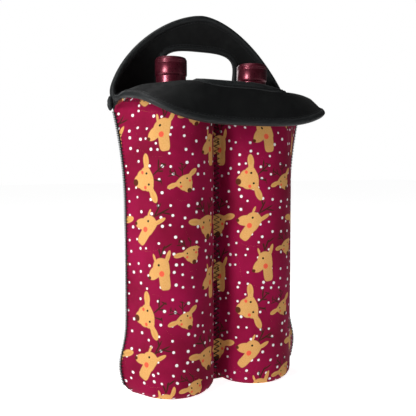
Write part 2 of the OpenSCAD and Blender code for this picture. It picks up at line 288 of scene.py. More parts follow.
# A group that paints a head, centred where At is zero, over the colour Under
def headGroup(name, antlers, skin, blocks, marks, mirrored):
    group = bpy.data.node_groups.new(name, "ShaderNodeTree")
    group.interface.new_socket("At", in_out="INPUT", socket_type="NodeSocketVector")
    group.interface.new_socket("Under", in_out="INPUT", socket_type="NodeSocketColor")
    group.interface.new_socket("Color", in_out="OUTPUT", socket_type="NodeSocketColor")
    tree = Tree(group)
    start = tree.add("NodeGroupInput")
    at, colour = start.outputs[0], start.outputs[1]
    side = at
    if mirrored:
        axes = tree.add("ShaderNodeSeparateXYZ", {0: at})
        side = tree.add("ShaderNodeCombineXYZ", {
            0: tree.maths("ABSOLUTE", axes.outputs[0]), 1: axes.outputs[1]}).outputs[0]
    branches = anyOf(tree, [spot(tree, side, *branch, soft=0.25) for branch in antlers])
    colour = tree.blendColour(tree.maths("MULTIPLY", branches, 0.85), colour,
                              printLook["antler"])
    body = anyOf(tree, [spot(tree, side, *shape, soft=0.05) for shape in skin]
                 + [block(tree, side, *shape, soft=0.04) for shape in blocks])
    grain = tree.ramp(tree.noise(at, 0.9, 3.0, 0.7), 0.35, 0.7)
    fur = tree.blendColour(grain, printLook["tan"], printLook["tanDark"])
    colour = tree.blendColour(body, colour, fur)
    for tint, shape in marks:
        colour = tree.blendColour(spot(tree, side, *shape), colour, printLook[tint])
    end = tree.add("NodeGroupOutput")
    group.links.new(colour, end.inputs[0])
    return group


facingHead = headGroup(
    "FacingHead",
    antlers=[((5.5, 16.5), (8.5, 0.8), 62), ((10.2, 17.5), (4.6, 0.75), 18),
             ((8.6, 22.6), (3.8, 0.75), 128), ((3.6, 18.6), (3.6, 0.7), 100)],
    skin=[((0, 2.6), (11, 7), 0), ((0, -1.4), (9.4, 7.6), 0), ((0, -5.2), (6.2, 7.2), 0),
          ((16.2, 6.0), (6.6, 3.1), 9), ((11.0, 5.0), (4.5, 2.6), 12)],
    blocks=[((0, 3.4), (10.2, 5.2), 0)],
    marks=[("tanDark", ((17.0, 6.1), (4.6, 1.1), 9)), ("eye", ((5.1, 3.8), (1.0, 1.1))),
           ("cheek", ((7.0, -0.6), (1.7, 1.5))), ("nose", ((0, -10.6), (3.1, 2.9)))],
    mirrored=True)

sideHead = headGroup(
    "SideHead",
    antlers=[((5.6, 21.0), (8.6, 0.8), 66), ((9.6, 23.4), (4.6, 0.7), 28),
             ((1.4, 20.4), (7.4, 0.8), 100), ((-1.2, 24.0), (3.4, 0.7), 140)],
    skin=[((2.2, 4.8), (7.6, 8.4), 0), ((-3.2, 0.6), (8.8, 5.0), 44),
          ((9.0, 13.6), (6.4, 1.9), 68), ((-3.4, 13.4), (3.8, 1.1), 104)],
    blocks=[((4.6, -6.0), (4.9, 10.2), 3), ((3.2, 4.0), (6.6, 8.4), 4)],
    marks=[("eye", ((0.2, 6.8), (1.0, 1.1))), ("cheek", ((2.4, -1.2), (2.4, 2.6))),
           ("nose", ((-9.8, -4.6), (1.7, 1.6))), ("tanDark", ((9.6, 13.6), (3.6, 0.7), 66))],
    mirrored=False)

# kind, place across and up in mm, turn in degrees, size
heads = [
    (sideHead, (-86.8, 244.3), 4, 1.0), (facingHead, (-101.5, 202.6), -76, 1.0),
    (facingHead, (-62.4, 199.9), 32, 0.72), (sideHead, (-101.8, 160.3), -38, 1.0),
    (facingHead, (-56.3, 135.2), 22, 0.72), (sideHead, (-33, 232), -2, 1.0),
    (sideHead, (1.5, 232), -2, 1.0), (facingHead, (-36, 160), 6, 1.0),
    (facingHead, (0.5, 158), 6, 1.0),
]


# Where a point lies in the head that it is in. A point in no head is sent far away
def nearestHead(tree, at, group):
    half = (printLook["across"] / 2, printLook["up"] / 2, 1)
    middle, reach = printLook["headMiddle"], printLook["headReach"]
    best = (99, 99, 0)
    for kind, place, turn, size in heads:
        if kind != group:
            continue
        moved = tree.vector("SUBTRACT", at, (*place, 0))
        wrapped = tree.add("ShaderNodeVectorMath", {
            0: moved, 1: half, 2: tuple(-c for c in half)}, operation="WRAP").outputs[0]
        turned = tree.around(wrapped, (0, 0), (size, size), turn)
        best = tree.add("ShaderNodeMix", {
            0: spot(tree, turned, (0, middle), (reach, reach), soft=0.001), 4: best, 5: turned},
            data_type="VECTOR").outputs[1]
    return best


def knit(tree, at, after=None):
    rib = tree.add("ShaderNodeTexWave", {"Vector": at, "Scale": 0.42, "Distortion": 0.6,
                   "Detail": 1.0}, bands_direction="X").outputs[1]
    cross = tree.add("ShaderNodeTexWave", {"Vector": at, "Scale": 0.36, "Distortion": 0.6,
                     "Detail": 1.0}, bands_direction="Y").outputs[1]
    loops = tree.maths("MULTIPLY", rib, cross)
    return tree.bump(loops, 0.22, 0.0002, after), loops


def printedNeoprene():
    material, tree, shader = newMaterial("PrintedNeoprene", {
        "Sheen Weight": 0.02, "Sheen Roughness": 0.5, "Specular IOR Level": 0.1})
    uv = tree.add("ShaderNodeUVMap", uv_map="print").outputs[0]
    at = tree.add("ShaderNodeVectorMath", {0: uv, 1: (1000, 1000, 0)},
                  operation="MULTIPLY").outputs[0]
    # Painted shade: in random patches the ground turns to its darker, shaded copy
    shadePatches = tree.ramp(tree.noise(at, 0.016, 3.0, 0.55), 0.32, 0.72)
    colour = tree.blendColour(shadePatches, printLook["ground"], printLook["shade"])
    flakes = tree.add("ShaderNodeTexVoronoi", {"Vector": at, "Scale": 1 / printLook["snowPitch"],
                      "Randomness": 0.7}, voronoi_dimensions="2D")
    size = tree.ramp(tree.add("ShaderNodeSeparateColor", {0: flakes.outputs["Color"]})
                     .outputs[0], 0, 1, *printLook["snowSize"])
    flake = tree.ramp(tree.maths("SUBTRACT", flakes.outputs["Distance"], size), 0.012, -0.012)
    colour = tree.blendColour(flake, colour, printLook["snow"])
    for group in (sideHead, facingHead):
        painted = tree.add("ShaderNodeGroup", node_tree=group)
        tree.tree.links.new(nearestHead(tree, at, group), painted.inputs[0])
        tree.tree.links.new(colour, painted.inputs[1])
        colour = painted.outputs[0]
    fine = tree.noise(at, 3.2, 2.0, 0.7)
    colour = tree.add("ShaderNodeHueSaturation", {
        "Value": tree.ramp(fine, 0.25, 0.75, 0.93, 1.07), "Color": colour}).outputs[0]
    normal, loops = knit(tree, at)
    soft = tree.bump(tree.noise(at, 0.05, 3.0), 0.25, 0.004, normal)
    finishMaterial(tree, shader, colour=colour, normal=soft,
                   rough=tree.ramp(loops, 0, 1, 0.78, 0.62))
    return material


neopreneLook = {"face": linear(9, 10, 11), "worn": linear(30, 32, 31),
                "lining": linear(7, 8, 9)}


def blackNeoprene(name, face, worn):
    material, tree, shader = newMaterial(name, {
        "Sheen Weight": 0.03, "Sheen Roughness": 0.4, "Specular IOR Level": 0.2})
    at = tree.inMillimetres()
    brushed = tree.ramp(tree.noise(at, 0.03, 4.0, 0.6), 0.38, 0.75)
    speck = tree.ramp(tree.noise(at, 2.4, 2.0, 0.8), 0.5, 0.8)
    colour = tree.blendColour(tree.maths("MAXIMUM", tree.maths("MULTIPLY", brushed, 0.5),
                                         tree.maths("MULTIPLY", speck, 0.55)), face, worn)
    grain = tree.bump(tree.noise(at, 1.6, 3.0, 0.7), 0.3, 0.0003)
    finishMaterial(tree, shader, colour=colour, normal=grain,
                   rough=tree.ramp(tree.noise(at, 0.2, 3.0), 0.3, 0.7, 0.5, 0.66))
    return material


def wovenBinding():
    material, tree, shader = newMaterial("WovenBinding", {
        "Sheen Weight": 0.03, "Sheen Roughness": 0.35, "Specular IOR Level": 0.3})
    at = tree.inMillimetres()
    weave = tree.add("ShaderNodeTexVoronoi", {"Vector": at, "Scale": 1.15,
                     "Randomness": 0.35}).outputs["Distance"]
    colour = tree.blendColour(tree.ramp(weave, 0.1, 0.8), linear(9, 10, 11),
                              linear(36, 39, 40))
    finishMaterial(tree, shader, colour=colour, normal=tree.bump(weave, 0.4, 0.0003),
                   rough=tree.ramp(tree.noise(at, 0.4, 2.0), 0.3, 0.7, 0.42, 0.58))
    return material


def blackThread():
    material, tree, shader = newMaterial("BlackThread", {
        "Sheen Weight": 0.03, "Specular IOR Level": 0.3})
    at = tree.inMillimetres()
    twist = tree.add("ShaderNodeTexWave", {"Vector": at, "Scale": 1.4, "Distortion": 1.5},
                     bands_direction="DIAGONAL").outputs[1]
    colour = tree.blendColour(twist, linear(4, 4, 5), linear(16, 16, 18))
    finishMaterial(tree, shader, colour=colour, normal=tree.bump(twist, 0.5, 0.0002),
                   rough=tree.ramp(twist, 0, 1, 0.6, 0.45))
    return material


def capsuleFoil():
    material, tree, shader = newMaterial("CapsuleFoil", {
        "Metallic": 0.72, "Coat Weight": 0.35, "Coat Roughness": 0.22,
        "Specular IOR Level": 0.5})
    at = tree.inMillimetres()
    cloud = tree.ramp(tree.noise(at, 0.12, 4.0, 0.6), 0.3, 0.75)
    colour = tree.blendColour(cloud, linear(112, 34, 52), linear(88, 22, 38))
    crease = tree.noise(tree.vector("MULTIPLY", at, (1.0, 1.0, 0.25)), 0.35, 3.0, 0.6)
    finishMaterial(tree, shader, colour=colour, normal=tree.bump(crease, 0.22, 0.0008),
                   rough=tree.ramp(tree.noise(at, 0.8, 3.0), 0.3, 0.7, 0.26, 0.4))
    return material


def bottleGlass():
    material, tree, shader = newMaterial("BottleGlass", {
        "Transmission Weight": 0.85, "IOR": 1.5})
    at = tree.add("ShaderNodeTexCoord").outputs["Object"]
    streak = tree.ramp(tree.noise(at, 22, 3.0), 0.3, 0.7)
    colour = tree.blendColour(streak, linear(30, 62, 38), linear(18, 44, 26))
    finishMaterial(tree, shader, colour=colour,
                   normal=tree.bump(tree.noise(at, 60, 2.0), 0.08, 0.0006),
                   rough=tree.ramp(tree.noise(at, 140, 3.0), 0.3, 0.7, 0.04, 0.1))
    return material


def speckled(name, dark, light, scale, rough, fixed):
    material, tree, shader = newMaterial(name, fixed)
    at = tree.add("ShaderNodeTexCoord").outputs["Object"]
    grain = tree.noise(at, scale, 4.0, 0.65)
    share = tree.ramp(grain, 0.35, 0.7)
    finishMaterial(tree, shader, colour=tree.blendColour(share, dark, light),
                   normal=tree.bump(grain, 0.3, 0.0004),
                   rough=tree.ramp(grain, 0.3, 0.7, rough - 0.08, rough + 0.08))
    return material


def paperLabel():
    material, tree, shader = newMaterial("PaperLabel", {"Specular IOR Level": 0.3})
    at = tree.add("ShaderNodeTexCoord").outputs["Object"]
    fibre = tree.noise(at, 420, 4.0, 0.7)
    colour = tree.blendColour(tree.ramp(fibre, 0.35, 0.7), linear(238, 230, 208),
                              linear(224, 213, 186))
    height = tree.add("ShaderNodeSeparateXYZ", {0: at}).outputs[2]
    low, high = (corner[2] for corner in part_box("left_label"))
    for level in (low + 0.006, low + 0.009, high - 0.009, high - 0.006):
        away = tree.maths("ABSOLUTE", tree.maths("SUBTRACT", height, level))
        line = tree.ramp(away, 0.0008, 0.0005)
        colour = tree.blendColour(line, colour, linear(122, 26, 44))
    finishMaterial(tree, shader, colour=colour, normal=tree.bump(fibre, 0.2, 0.0002),
                   rough=tree.ramp(fibre, 0.3, 0.7, 0.62, 0.75))
    return material


printed = printedNeoprene()
neoprene = blackNeoprene("BlackNeoprene", neopreneLook["face"], neopreneLook["worn"])
lining = blackNeoprene("NeopreneLining", neopreneLook["lining"], neopreneLook["face"])
bindingTape = wovenBinding()
seamThread = blackThread()
foil = capsuleFoil()
print("materials made")


# Camera and light

cameraLook = {
    "place": (-0.2394, -0.5019, 0.2158),
    "tilt": 86.58,            # from straight down, in degrees
    "turn": -25.5,
    "lens": 48.34,
    "shift": (-0.0114, -0.0225),
}


def addCamera():
    data = bpy.data.cameras.new("Camera")
    data.lens = cameraLook["lens"]
    data.sensor_width = 36
    data.shift_x, data.shift_y = cameraLook["shift"]
    data.clip_start, data.clip_end = 0.01, 20
    camera = bpy.data.objects.new("Camera", data)
    camera.location = cameraLook["place"]
    camera.rotation_euler = (math.radians(cameraLook["tilt"]), 0,
                             math.radians(cameraLook["turn"]))
    bpy.context.scene.collection.objects.link(camera)
    bpy.context.scene.camera = camera


# name: place, power in watts, size in metres
lights = {
    "KeyLight": ((-1.26, -0.5, 0.62), 15.5, 0.42),
    "FillLight": ((0.95, -1.0, 0.5), 0.25, 0.9),
    "TopLight": ((-0.3, 0.1, 1.3), 4.0, 0.8),
    "BackLight": ((0.2, 1.2, 0.8), 4.0, 0.9),
}
studio = {
    "backdrop": 1.0,          # as the camera sees it
    "ambient": 0.05,          # as the pieces see it
    "floorGlow": 0.46,        # light that the floor throws on the pieces
    "floorSeen": 0.93,        # light that it sends to the camera
    "floorHalf": 6000.0,
}


def addLights():
    target = Vector((0, 0, 0.17))
    for name, (place, power, size) in lights.items():
        data = bpy.data.lights.new(name, "AREA")
        data.shape = "DISK"
        data.energy, data.size = power, size
        lamp = bpy.data.objects.new(name, data)
        lamp.location = place
        lamp.rotation_euler = (target - Vector(place)).to_track_quat("-Z", "Y").to_euler()
        bpy.context.scene.collection.objects.link(lamp)
    world = bpy.data.worlds.new("Studio")
    world.use_nodes = True
    tree = Tree(world.node_tree)
    seen = tree.add("ShaderNodeLightPath").outputs["Is Camera Ray"]
    strength = tree.ramp(seen, 0, 1, studio["ambient"], studio["backdrop"])
    tree.tree.links.new(strength, world.node_tree.nodes["Background"].inputs["Strength"])
    world.node_tree.nodes["Background"].inputs["Color"].default_value = (1, 1, 1, 1)
    bpy.context.scene.world = world
    bpy.context.scene.view_settings.view_transform = "Standard"


def addFloor():
    material, tree, shader = newMaterial("StudioFloor", {
        "Specular IOR Level": 0.1, "Emission Color": (1, 1, 1, 1)})
    seen = tree.add("ShaderNodeLightPath").outputs["Is Camera Ray"]
    glow = tree.ramp(seen, 0, 1, studio["floorGlow"], studio["floorSeen"])
    tree.tree.links.new(glow, shader.inputs["Emission Strength"])
    at = tree.add("ShaderNodeTexCoord").outputs["Object"]
    cloud = tree.noise(at, 6.0, 2.0)
    finishMaterial(tree, shader, rough=tree.ramp(cloud, 0.3, 0.7, 0.85, 0.95),
                   colour=tree.blendColour(cloud, linear(250, 250, 250), linear(253, 253, 253)))
    mesh = bmesh.new()
    bmesh.ops.create_grid(mesh, x_segments=2, y_segments=2, size=studio["floorHalf"])
    newPiece("StudioFloor", mesh, [material])


addCamera()
addLights()
addFloor()
print("camera, lights and floor placed")


# The printed body

foot = {
    "bulge": 6.5,             # how much wider the bag is round its foot
    "level": 28.0,
    "spread": 22.0,
    "tuck": 7.0,              # how far the side seam draws in at the base
    "tuckTop": 12.0,
}
flareStart = 175.0            # where the sides begin to widen towards the mouth
web = {
    "depth": 8.0,             # of the flat strip along the centre seam
    "base": (8.0, 26.0),      # where it opens above the base, and over what height
    "mouth": (6.0, 20.0),     # where it closes below the collar seam, and over what height
}
wrinkles = {
    "depth": 0.55,
    "inward": 0.35,           # how far loose cloth sits inside its outline
    "centre": 14.0,           # distance from the centre seam where the cloth is loose
    "sides": 9.0,             # how fast it comes loose from the side seams
    "base": (4.0, 18.0),      # level where it begins to come loose, and over what height
    "broad": (17.0, 46.0),    # size of a ripple, across and up
    "upright": (9.0, 120.0),
    "uprightShare": 1.3,
    "uprightStart": (205.0, 50.0),  # level where the upright folds begin, and over what height
}
lap = {
    "rise": 7.0,              # how far the print reaches up over the collar at the front left
    "start": (0.5, 0.16),     # share of the way to the left seam where it begins, and over what
    "ease": 4.0,              # how far below the collar seam it begins to stand off
    "clear": (0.9, 2.5),      # gap to the collar, on the pocket and by the corner
    "corner": (55.0, 20.0),   # where the gap begins to widen, and over what width
    "fade": 1.5,
}


def seamTip(z):
    z = min(z, bag["collarLevel"])
    flare = clamp((z - flareStart) / (bag["collarLevel"] - flareStart)) ** 2
    return (bag["waistTip"] + foot["bulge"] * math.exp(-((z - foot["level"]) / foot["spread"]) ** 2)
            - foot["tuck"] * clamp(1 - z / foot["tuckTop"]) ** 2
            + (bag["mouthTip"] - bag["waistTip"]) * flare)


# Depth of the cloth at the centre seam, less where the base and the collar close it
def webDepth(z):
    flat = bag["neoprene"] + bag["seamGap"]
    opened = ease((z - web["base"][0]) / web["base"][1])
    closed = ease((bag["collarLevel"] - web["mouth"][0] - z) / web["mouth"][1])
    return mix(flat, web["depth"], opened * closed)


# A point a distance round half an outline, from the centre seam to the side seam
def aroundHalf(share, radius, tip, depth):
    axis = bag["pocketAxis"]
    first = math.pi - math.asin(depth / radius)
    last = math.acos(radius / (tip - axis))
    lengths = (axis + radius * math.cos(first), radius * (first - last),
               math.sqrt((tip - axis) ** 2 - radius ** 2))
    along = share * sum(lengths)
    if along < lengths[0]:
        return along, depth, along
    if along < lengths[0] + lengths[1]:
        angle = first - (along - lengths[0]) / radius
        return axis + radius * math.cos(angle), radius * math.sin(angle), along
    rest = clamp((along - lengths[0] - lengths[1]) / lengths[2])
    x, y = axis + radius * math.cos(last), radius * math.sin(last)
    return mix(x, tip, rest), mix(y, bag["seamGap"], rest), along


baseRun = bag["pocketRadius"] - bag["heel"]
heelRun = bag["heel"] * math.pi / 2
wallRun = bag["collarLevel"] - bag["heel"]
panelRun = baseRun + heelRun + wallRun
rearPrintShift = 57.0


# radius of the pocket, level, and how far the flat base has spread, at a run up the panel
def panelLevel(run):
    if run < baseRun:
        return baseRun, 0.0, run / baseRun
    if run < baseRun + heelRun:
        angle = (run - baseRun) / bag["heel"]
        return (bag["pocketRadius"] - bag["heel"] * (1 - math.sin(angle)),
                bag["heel"] * (1 - math.cos(angle)), 1.0)
    return bag["pocketRadius"], run - baseRun - heelRun + bag["heel"], 1.0


# How far the print reaches up over the collar, from -1 at the left seam to 1 at the right
def printRise(across, side):
    return lap["rise"] * ease((-across - lap["start"][0]) / lap["start"][1]) if side < 0 else 0.0


# Depth of the collar's inner face at x and a level above the collar seam
def collarDepth(x, z, side):
    if side > 0:
        return rearSurface(x, z - bag["collarLevel"]).y
    end = brimPoint(x, -brim["shelf"] * crestShape(x))
    last = math.radians(brim["collarLean"])
    rise = clamp((z - bag["collarLevel"]) / (end.z - bag["collarLevel"]))
    lean = math.asin(rise * math.sin(last))
    forward = (1 - math.cos(lean)) / (1 - math.cos(last))
    return -mix(-mouthDepth(x, bag["neoprene"]), end.y, forward)


# How far the cloth stands out of its smooth outline
def wrinkleAt(across, along, z, side):
    low, rise = wrinkles["base"]
    loose = (ease(along / wrinkles["centre"]) * ease((1 - abs(across)) * wrinkles["sides"])
             * ease((z - low) / rise))
    broad = noise.noise(Vector((along / wrinkles["broad"][0] * (1 if across > 0 else -1),
                                z / wrinkles["broad"][1], side * 7.0)))
    upright = noise.noise(Vector((along / wrinkles["upright"][0] + across,
                                  z / wrinkles["upright"][1], side * 3.0)))
    level, height = wrinkles["uprightStart"]
    top = ease((z - level) / height)
    return (wrinkles["depth"] * loose * (broad + top * wrinkles["uprightShare"] * upright)
            - wrinkles["inward"] * loose)


# The outside of a panel: s goes across it and t up it from the base seam, from 0 to 1
def panelPoint(s, t, side):
    across = 2 * s - 1
    rise = printRise(across, side)
    radius, z, spread = panelLevel(t * (panelRun + rise))
    x, y, along = aroundHalf(abs(across), radius, seamTip(z), webDepth(z))
    ripple = wrinkleAt(across, along, z, side)
    dx, dy = abs(x) - bag["pocketAxis"], y
    length = math.hypot(dx, dy) or 1.0
    x, y = x + ripple * dx / length, y + ripple * dy / length
    over = z - bag["collarLevel"] + lap["ease"]
    if over > 0 and rise:
        begin, width = lap["corner"]
        lapped = (collarDepth(x, max(z, bag["collarLevel"]), side) + bag["neoprene"]
                  + mix(*lap["clear"], ease((abs(x) - begin) / width)))
        y = mix(y, lapped, ease(over / lap["ease"]) * clamp(rise / lap["fade"]))
    y = mix(bag["seamGap"], y, spread)
    return Vector((x if across >= 0 else -x, side * y, z))


# Where the print is read for a point of a panel, in metres
def printPlace(s, t, side):
    across = 2 * s - 1
    run = t * (panelRun + printRise(across, side))
    radius, z, spread = panelLevel(run)
    along = aroundHalf(abs(across), radius, seamTip(z), webDepth(z))[2]
    offset = 0.0 if side < 0 else rearPrintShift
    return ((along if across > 0 else -along) * 0.001 + offset * 0.001,
            (run - panelRun + bag["collarLevel"]) * 0.001)


def addPrintedPanel(name, side, node):
    mesh = bentGrid(132, 100, lambda s, t: panelPoint(s, t, side),
                    printAt=lambda s, t: printPlace(s, t, side))
    middle = Vector((bag["pocketAxis"], side * bag["pocketRadius"], 150))
    outward(mesh, (middle, Vector((0, side, 0))))
    panel = newPiece(name, mesh, [printed, lining], "bag",
                     bag["neoprene"] - 0.1, rim=1)
    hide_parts(node)


# The handle panels

handle = {
    "height": 104.0,          # above the collar seam
    "halfWidth": 102.4,
    "cornerIn": 1.8,          # how far inside that the rear panel ends
    "archTop": 98.5,          # of the rear panel, above the collar seam
    "depth": 40.5,            # how far the rear panel stands behind the middle
    "depthBend": 3.2,
    "fold": 21.0,             # level of the rear panel's fold, above the collar seam
    "lean": 22.0,             # how far the top of the rear panel leans forward
    "leanBend": 1.3,
    "ripple": 0.7,
    "stripGive": 0.45,        # how far the strip below the hole follows the grip's depth
    "tape": 5.4,              # thickness of the rolled binding
    "tapeWidth": 7.6,
    "tapeRound": 0.62,
    "grooveIn": 1.7,          # from the tape's inner side to its stitched groove
    "grooveDepth": 1.35,
    "grooveWidth": 0.8,
    "stitchHalf": 0.45,
    "stitchPitch": 3.4,
    "stitchThread": 0.32,
    "holeHalf": 43.5,         # half width of a hand hole
    "strip": 12.0,            # below a hand hole
    "holeTop": 66.5,
    "frontHoleWider": 2.0,    # on each side
    "archBend": 1.7,
    "holeBend": 3.4,
}
tapeRadius = handle["tape"] / 2
grooveAt = handle["tapeWidth"] - tapeRadius - handle["grooveIn"]

brim = {
    "crest": 58.0,            # how far the fold stands in front of the middle
    "crestLevel": 289.0,
    "crestDrop": (6.0, 95.0), # how much lower the fold runs, and at what distance across
    "collarLean": 70.0,       # of the collar where it meets the shelf, in degrees
    "shelf": 8.0,             # depth of the cloth behind the fold
    "rise": 20.0,             # slope of the shelf, in degrees
    "roll": 12.0,             # length of cloth that turns over the fold
    "steep": 78.0,            # slope in front of the fold
    "steepFade": (43.0, 92.0),  # how much less steep it is, and at what distance across
    "length": 46.0,
    "endHalf": 101.0,
    "spread": 0.05,
    "hole": (-0.4, 0.309),    # from behind the fold to in front of it, as g is counted below
    "endDrop": (6.0, 11.5),   # how much lower the fold ends at the left and right corners
    "dropStart": (85.0, 66.0),
    "rightSag": 5.5,          # how much lower the fold runs on the right
    "sagAcross": (5.0, 45.0, 99.0, 30.0),  # where that begins, over what, where it ends, over what
}


# Depth of the pockets' mouth at x, on the cloth's outside or an inset inside it
def mouthDepth(x, inset):
    radius = bag["pocketRadius"] - inset
    tip = bag["pocketAxis"] + (bag["mouthTip"] - bag["pocketAxis"]) * radius / bag["pocketRadius"]
    least = bag["seamGap"] if inset else bag["neoprene"] + bag["seamGap"]
    d = abs(x) - bag["pocketAxis"]
    cosEnd = radius / (tip - bag["pocketAxis"])
    endX, endY = bag["pocketAxis"] + radius * cosEnd, radius * math.sqrt(1 - cosEnd ** 2)
    if d < -math.sqrt(radius ** 2 - least ** 2):
        return least
    if abs(x) < endX:
        return math.sqrt(radius ** 2 - d ** 2)
    return max(bag["seamGap"], bag["seamGap"] + (tip - abs(x)) * endY / (tip - endX))


# 0 across the hand hole and 1 beside it
def pastHole(x):
    return ease((abs(x) - 30) / 14)


# Rear panel: a place x across and h up the flat panel, on its inner face
def rearSurface(x, h):
    fold = handle["fold"]
    depth = handle["depth"] * bell(x, handle["halfWidth"], handle["depthBend"])
    give = mix(handle["stripGive"], 1.0, max(pastHole(x), ease((h - 14) / 40)))
    share = ease(h / fold) * give
    depth -= handle["lean"] * clamp((h - fold) / (handle["height"] - fold)) ** handle["leanBend"]
    wave = handle["ripple"] * noise.noise(Vector((x / 40, h / 30, 4.0))) * ease(h / 20)
    return Vector((x, mix(mouthDepth(x, bag["neoprene"]), depth, share) + wave,
                   bag["collarLevel"] + h))


# Level of the rear panel's outer edge, less the tape's radius
def rearArch(x):
    reach = clamp(abs(x) / (handle["halfWidth"] - handle["cornerIn"] - tapeRadius))
    return (handle["archTop"] - tapeRadius) * (1 - reach ** handle["archBend"]) ** (
        1 / handle["archBend"])


# Front panel: x across and g from -1 at the mouth, 0 behind the crest, 1 at the brim's edge
def crestShape(x):
    return bell(x, handle["halfWidth"], 3)


def brimEnd(x):
    return (brim["length"] - tapeRadius) * max(0.0, 1 - (abs(x) / brim["endHalf"]) ** 4) ** 0.6


# How much lower the fold runs at x, and how much of that the brim's edge leaves out
def foldDrop(x):
    drop, begin = brim["endDrop"][x > 0], brim["dropStart"][x > 0]
    crestDrop, crestAt = brim["crestDrop"]
    sagBegin, sagRise, sagEnd, sagFall = brim["sagAcross"]
    return (crestDrop * (abs(x) / crestAt) ** 3
            + drop * clamp((abs(x) - begin) / (bag["mouthTip"] - begin)) ** 2,
            brim["rightSag"] * ease((x - sagBegin) / sagRise) * ease((sagEnd - x) / sagFall))


# A place at x and at a length s of cloth past the start of the fold
def brimPoint(x, s):
    fade, fadeAt = brim["steepFade"]
    steep = brim["steep"] - fade * (abs(x) / fadeAt) ** 2.2
    bend = math.degrees(brim["roll"] / (brim["rise"] + steep))
    tilt = math.radians(mix(brim["rise"], -steep, clamp(s / brim["roll"])))
    rise = math.radians(brim["rise"])
    straight = s if s < 0 else max(0.0, s - brim["roll"])
    y = (-brim["crest"] * crestShape(x) + bend * (math.sin(tilt) - math.sin(rise))
         - straight * math.cos(tilt))
    drop, sag = foldDrop(x)
    z = (brim["crestLevel"] - drop - sag * clamp(1 - s / brim["length"])
         + bend * (math.cos(tilt) - math.cos(rise)) + straight * math.sin(tilt))
    return Vector((x * (1 + brim["spread"] * clamp(s / brim["length"])), y, z))


def frontSurface(x, g):
    shelf = brim["shelf"] * crestShape(x)
    if g > 0:
        return brimPoint(x, mix(-shelf, brimEnd(x), g))
    end = brimPoint(x, -shelf)
    lean = math.radians(brim["collarLean"] * (g + 1))
    last = math.radians(brim["collarLean"])
    forward = ((1 - math.cos(lean)) / (1 - math.cos(last))) ** mix(2.2, 1.0, pastHole(x))
    return Vector((x, mix(-mouthDepth(x, bag["neoprene"]), end.y, forward),
                   mix(bag["collarLevel"], end.z, math.sin(lean) / math.sin(last))))


# Where the rim of a hand hole lies on the line from its centre to a place on the outer edge
def holeRim(outer, centre, half, bend):
    away = outer - centre
    size = (abs(away.x / half.x) ** bend + abs(away.y / half.y) ** bend) ** (1 / bend)
    return centre + away / size


def evenly(a, b, count):
    return [a.lerp(b, i / count) for i in range(count)]


# The rear panel's outer edge in the flat, counterclockwise: its lower edge and its arch
def rearOuter():
    reach = handle["halfWidth"] - handle["cornerIn"] - tapeRadius
    low = evenly(Vector((-reach, 0)), Vector((reach, 0)), 72)
    arch = []
    for i in range(112):
        angle = math.pi * i / 112
        x = reach * math.copysign(abs(math.cos(angle)) ** (2 / handle["archBend"]),
                                  math.cos(angle))
        arch.append(Vector((x, rearArch(x))))
    return low, arch


# The front panel's outer edge in x and g: its lower, right, upper and left sides
def frontOuter():
    reach = bag["mouthTip"] + 0.2
    corners = [Vector(c) for c in ((-reach, -1), (reach, -1), (reach, 1), (-reach, 1))]
    return [evenly(corners[i], corners[(i + 1) % 4], count)
            for i, count in enumerate((72, 8, 112, 8))]


addPrintedPanel("FrontPanel", -1, "front_panel")
addPrintedPanel("RearPanel", 1, "rear_panel")
print("printed panels made")


holeBehind, holeAhead = brim["hole"]

# start and end are points in metres, which bendWith reads but does not use
handles = {
    "Rear": {"surface": rearSurface, "outer": sum(rearOuter(), []),
             "centre": Vector((0, (handle["strip"] + handle["holeTop"]) / 2)),
             "half": Vector((handle["holeHalf"], (handle["holeTop"] - handle["strip"]) / 2)),
             "body": "rear_handle", "start": (0, 0, 0.280), "end": (0, 0, 0.292),
             "away": Vector((0, -1, 0)), "probe": (0, 85)},
    "Front": {"surface": frontSurface, "outer": sum(frontOuter(), []),
              "centre": Vector((0, (holeBehind + holeAhead) / 2)),
              "half": Vector((handle["holeHalf"] + handle["frontHoleWider"],
                              (holeAhead - holeBehind) / 2)),
              "body": "front_handle", "start": (0, -0.044, 0.268),
              "end": (0, -0.05906, 0.26424), "away": Vector((0, 0, 1)), "probe": (70, 0.2)},
}


# Square to the panel at a flat place, one way or the other
def squareTo(surface, x, y):
    return (surface(x + 0.5, y) - surface(x - 0.5, y)).cross(
        surface(x, y + 0.01) - surface(x, y - 0.01))


# The panel's normal, on the side that its away shows at its probe
def handleNormal(part, at):
    normal = squareTo(part["surface"], at.x, at.y).normalized()
    shown = squareTo(part["surface"], *part["probe"]).dot(part["away"]) > 0
    return normal if shown else -normal


def bendWith(piece, part):
    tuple(part["start"])
    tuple(part["end"])
    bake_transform(piece)


def addHandleSheet(side, nodes):
    part = handles[side]
    outer = part["outer"]
    count = len(outer)

    def place(s, t):
        edge = outer[round(s * count) % count]
        rim = holeRim(edge, part["centre"], part["half"], handle["holeBend"])
        at = rim.lerp(edge, t)
        return part["surface"](at.x, at.y)

    mesh = bentGrid(count, 18, place, loopAcross=True)
    outward(mesh, (part["surface"](*part["probe"]), part["away"]))
    sheet = newPiece(side + "Handle", mesh, [neoprene], None,
                     bag["neoprene"])
    bendWith(sheet, part)
    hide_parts(*nodes)


